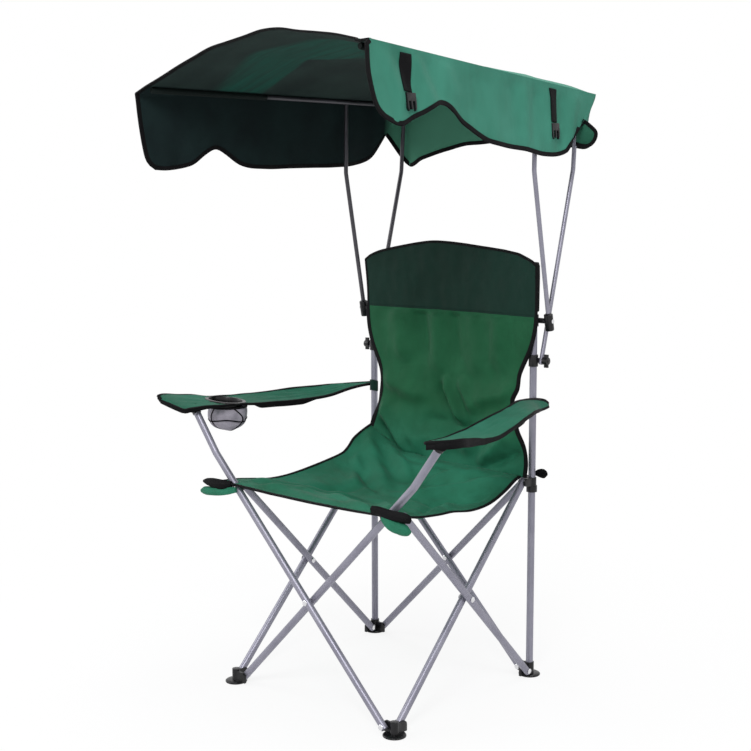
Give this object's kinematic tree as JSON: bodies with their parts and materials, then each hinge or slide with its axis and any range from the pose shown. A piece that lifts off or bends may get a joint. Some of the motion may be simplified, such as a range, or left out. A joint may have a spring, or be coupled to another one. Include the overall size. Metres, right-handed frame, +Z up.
{
  "type": "canopy folding chair",
  "caption": "Scissor-leg folding camp chair with cloth seat, back and armrests, a cup holder, and a fold-down cloth canopy on thin poles.",
  "frame": {"origin": "on the floor, midway between the four feet", "axes": "+X is the viewer's right, the chair faces -Y, and +Z is up"},
  "size_m": [0.8644, 0.8303, 1.3997],
  "materials": {
    "green_polyester": "woven green polyester, matt, with black binding on its edges",
    "dark_polyester": "doubled dark green polyester",
    "black_webbing": "black woven webbing",
    "grey_net": "fine grey net",
    "bright_steel": "bright rivet steel",
    "black_plastic": "moulded black plastic",
    "grey_tube": "semi-gloss powder coat in violet grey"
  },
  "bodies": {
    "left_post": {"foot_rear_left": "black_plastic", "rear_post_left": "grey_tube", "post_cap_left": "black_plastic", "upper_clamp_left": "black_plastic", "lower_clamp_left": "black_plastic", "seat": "green_polyester", "back": "green_polyester", "head_band": "dark_polyester", "armrest_left": "green_polyester", "cup_ring": "black_plastic", "cup_net": "grey_net"},
    "right_post": {"foot_rear_right": "black_plastic", "rear_post_right": "grey_tube", "post_cap_right": "black_plastic", "upper_clamp_right": "black_plastic", "lower_clamp_right": "black_plastic", "armrest_right": "green_polyester"},
    "left_leg_from_rear": {"left_leg_from_rear": "grey_tube", "left_crossing_rivet": "bright_steel"},
    "left_leg_from_front": {"left_leg_from_front": "grey_tube"},
    "rear_leg_from_left": {"rear_leg_from_left": "grey_tube", "rear_crossing_rivet": "bright_steel"},
    "rear_leg_from_right": {"rear_leg_from_right": "grey_tube"},
    "front_leg_from_left": {"front_leg_from_left": "grey_tube", "front_crossing_rivet": "bright_steel", "arm_cap_right": "black_plastic"},
    "front_leg_from_right": {"front_leg_from_right": "grey_tube", "arm_cap_left": "black_plastic"},
    "right_leg_from_rear": {"right_leg_from_rear": "grey_tube", "right_crossing_rivet": "bright_steel"},
    "right_leg_from_front": {"right_leg_from_front": "grey_tube"},
    "hub_front_left": {"hub_front_left": "black_plastic"},
    "hub_front_right": {"hub_front_right": "black_plastic"},
    "hub_rear_left": {"hub_rear_left": "black_plastic"},
    "hub_rear_right": {"hub_rear_right": "black_plastic"},
    "foot_front_left": {"foot_front_left": "black_plastic"},
    "foot_front_right": {"foot_front_right": "black_plastic"},
    "rear_pole_left": {"rear_pole_left": "grey_tube"},
    "rear_pole_right": {"rear_pole_right": "grey_tube"},
    "front_pole_left": {"front_pole_left": "grey_tube"},
    "front_pole_right": {"front_pole_right": "grey_tube"},
    "canopy_bar_left": {"canopy_bar_left": "grey_tube", "bar_cap_front_left": "black_plastic", "bar_cap_rear_left": "black_plastic", "canopy": "green_polyester", "canopy_strap_1_left": "black_webbing", "canopy_strap_2_left": "black_webbing", "strap_buckle_1_left": "black_plastic", "strap_buckle_2_left": "black_plastic"},
    "canopy_bar_right": {"canopy_bar_right": "grey_tube", "bar_cap_front_right": "black_plastic", "bar_cap_rear_right": "black_plastic", "canopy_strap_1_right": "black_webbing", "canopy_strap_2_right": "black_webbing", "strap_buckle_1_right": "black_plastic", "strap_buckle_2_right": "black_plastic"},
    "canopy_knob_left": {"canopy_knob_left": "black_plastic"},
    "canopy_knob_right": {"canopy_knob_right": "black_plastic"}
  },
  "joints": [
    {"name": "fold", "type": "hinge", "parent": "left_post", "child": "left_leg_from_rear", "pos_m": [-0.2272, 0.2125, 0.0165], "axis": [-1, 0, 0], "range_deg": [0, 41.66], "deforming": ["seat", "back", "head_band", "armrest_left", "armrest_right", "cup_ring", "cup_net", "canopy"]},
    {"name": "left_front_hub_pin", "type": "hinge", "parent": "left_leg_from_rear", "child": "hub_front_left", "pos_m": [-0.2272, -0.2125, 0.4505], "axis": [-1, 0, 0], "range_deg": [-41.68, 0]},
    {"name": "left_crossing", "type": "hinge", "parent": "left_leg_from_rear", "child": "left_leg_from_front", "pos_m": [-0.2355, 0, 0.2335], "axis": [-1, 0, 0], "range_deg": [-83.34, 0]},
    {"name": "left_front_foot_pin", "type": "hinge", "parent": "left_leg_from_front", "child": "foot_front_left", "pos_m": [-0.2438, -0.2125, 0.0165], "axis": [-1, 0, 0], "range_deg": [0, 41.68]},
    {"name": "left_rear_hub_pin", "type": "hinge", "parent": "left_leg_from_front", "child": "hub_rear_left", "pos_m": [-0.2438, 0.2125, 0.4505], "axis": [-1, 0, 0], "range_deg": [0, 41.68]},
    {"name": "rear_left_foot_pin", "type": "hinge", "parent": "left_post", "child": "rear_leg_from_left", "pos_m": [-0.2125, 0.2438, 0.0165], "axis": [0, -1, 0], "range_deg": [0, 41.68]},
    {"name": "rear_crossing", "type": "hinge", "parent": "rear_leg_from_left", "child": "rear_leg_from_right", "pos_m": [0, 0.2355, 0.2335], "axis": [0, -1, 0], "range_deg": [-83.34, 0]},
    {"name": "rear_right_hub_pin", "type": "hinge", "parent": "rear_leg_from_left", "child": "hub_rear_right", "pos_m": [0.2125, 0.2438, 0.4505], "axis": [0, -1, 0], "range_deg": [-41.68, 0]},
    {"name": "rear_right_foot_pin", "type": "hinge", "parent": "rear_leg_from_right", "child": "right_post", "pos_m": [0.2125, 0.2272, 0.0165], "axis": [0, -1, 0], "range_deg": [0, 41.68]},
    {"name": "front_left_foot_pin", "type": "hinge", "parent": "foot_front_left", "child": "front_leg_from_left", "pos_m": [-0.2125, -0.2272, 0.0165], "axis": [0, -1, 0], "range_deg": [0, 41.68]},
    {"name": "front_crossing", "type": "hinge", "parent": "front_leg_from_left", "child": "front_leg_from_right", "pos_m": [0, -0.2355, 0.2335], "axis": [0, -1, 0], "range_deg": [-83.34, 0]},
    {"name": "front_right_hub_pin", "type": "hinge", "parent": "front_leg_from_left", "child": "hub_front_right", "pos_m": [0.2125, -0.2272, 0.4505], "axis": [0, -1, 0], "range_deg": [-41.68, 0]},
    {"name": "front_right_foot_pin", "type": "hinge", "parent": "front_leg_from_right", "child": "foot_front_right", "pos_m": [0.2125, -0.2438, 0.0165], "axis": [0, -1, 0], "range_deg": [0, 41.68]},
    {"name": "right_rear_foot_pin", "type": "hinge", "parent": "right_post", "child": "right_leg_from_rear", "pos_m": [0.2438, 0.2125, 0.0165], "axis": [-1, 0, 0], "range_deg": [0, 41.68]},
    {"name": "right_crossing", "type": "hinge", "parent": "right_leg_from_rear", "child": "right_leg_from_front", "pos_m": [0.2355, 0, 0.2335], "axis": [-1, 0, 0], "range_deg": [-83.34, 0]},
    {"name": "canopy_fold", "type": "hinge", "parent": "left_post", "child": "rear_pole_left", "pos_m": [-0.2515, 0.243, 0.722], "axis": [-1, 0, 0], "range_deg": [0, 150]},
    {"name": "left_front_pole_pivot", "type": "hinge", "parent": "left_post", "child": "front_pole_left", "pos_m": [-0.2721, 0.24, 0.811], "axis": [-1, 0, 0], "range_deg": [0, 168.17]},
    {"name": "left_bar_pivot", "type": "hinge", "parent": "rear_pole_left", "child": "canopy_bar_left", "pos_m": [-0.2618, 0.367, 1.3], "axis": [-1, 0, 0], "range_deg": [-68.12, 0]},
    {"name": "right_rear_pole_pivot", "type": "hinge", "parent": "right_post", "child": "rear_pole_right", "pos_m": [0.2515, 0.243, 0.722], "axis": [-1, 0, 0], "range_deg": [0, 150.02]},
    {"name": "right_front_pole_pivot", "type": "hinge", "parent": "right_post", "child": "front_pole_right", "pos_m": [0.2721, 0.24, 0.811], "axis": [-1, 0, 0], "range_deg": [0, 168.17]},
    {"name": "right_bar_pivot", "type": "hinge", "parent": "rear_pole_right", "child": "canopy_bar_right", "pos_m": [0.2618, 0.367, 1.3], "axis": [-1, 0, 0], "range_deg": [-68.12, 0]},
    {"name": "left_knob_turn", "type": "hinge", "parent": "left_post", "child": "canopy_knob_left", "pos_m": [-0.2632, 0.243, 0.722], "axis": [-1, 0, 0], "range_deg": [0, 270]},
    {"name": "right_knob_turn", "type": "hinge", "parent": "right_post", "child": "canopy_knob_right", "pos_m": [0.2632, 0.243, 0.722], "axis": [1, 0, 0], "range_deg": [0, 270]}
  ],
  "couplings": [
    {"joint": "left_front_hub_pin", "follows": "fold", "ratio": -1},
    {"joint": "left_crossing", "follows": "fold", "ratio": -2},
    {"joint": "left_front_foot_pin", "follows": "fold", "ratio": 1},
    {"joint": "left_rear_hub_pin", "follows": "fold", "ratio": 1},
    {"joint": "rear_left_foot_pin", "follows": "fold", "ratio": 1},
    {"joint": "rear_crossing", "follows": "fold", "ratio": -2},
    {"joint": "rear_right_hub_pin", "follows": "fold", "ratio": -1},
    {"joint": "rear_right_foot_pin", "follows": "fold", "ratio": 1},
    {"joint": "front_left_foot_pin", "follows": "fold", "ratio": 1},
    {"joint": "front_crossing", "follows": "fold", "ratio": -2},
    {"joint": "front_right_hub_pin", "follows": "fold", "ratio": -1},
    {"joint": "front_right_foot_pin", "follows": "fold", "ratio": 1},
    {"joint": "right_rear_foot_pin", "follows": "fold", "ratio": 1},
    {"joint": "right_crossing", "follows": "fold", "ratio": -2},
    {"joint": "left_front_pole_pivot", "follows": "canopy_fold", "ratio": 1.121},
    {"joint": "left_bar_pivot", "follows": "canopy_fold", "ratio": -0.454},
    {"joint": "right_rear_pole_pivot", "follows": "canopy_fold", "ratio": 1},
    {"joint": "right_front_pole_pivot", "follows": "canopy_fold", "ratio": 1.121},
    {"joint": "right_bar_pivot", "follows": "canopy_fold", "ratio": -0.454}
  ]
}
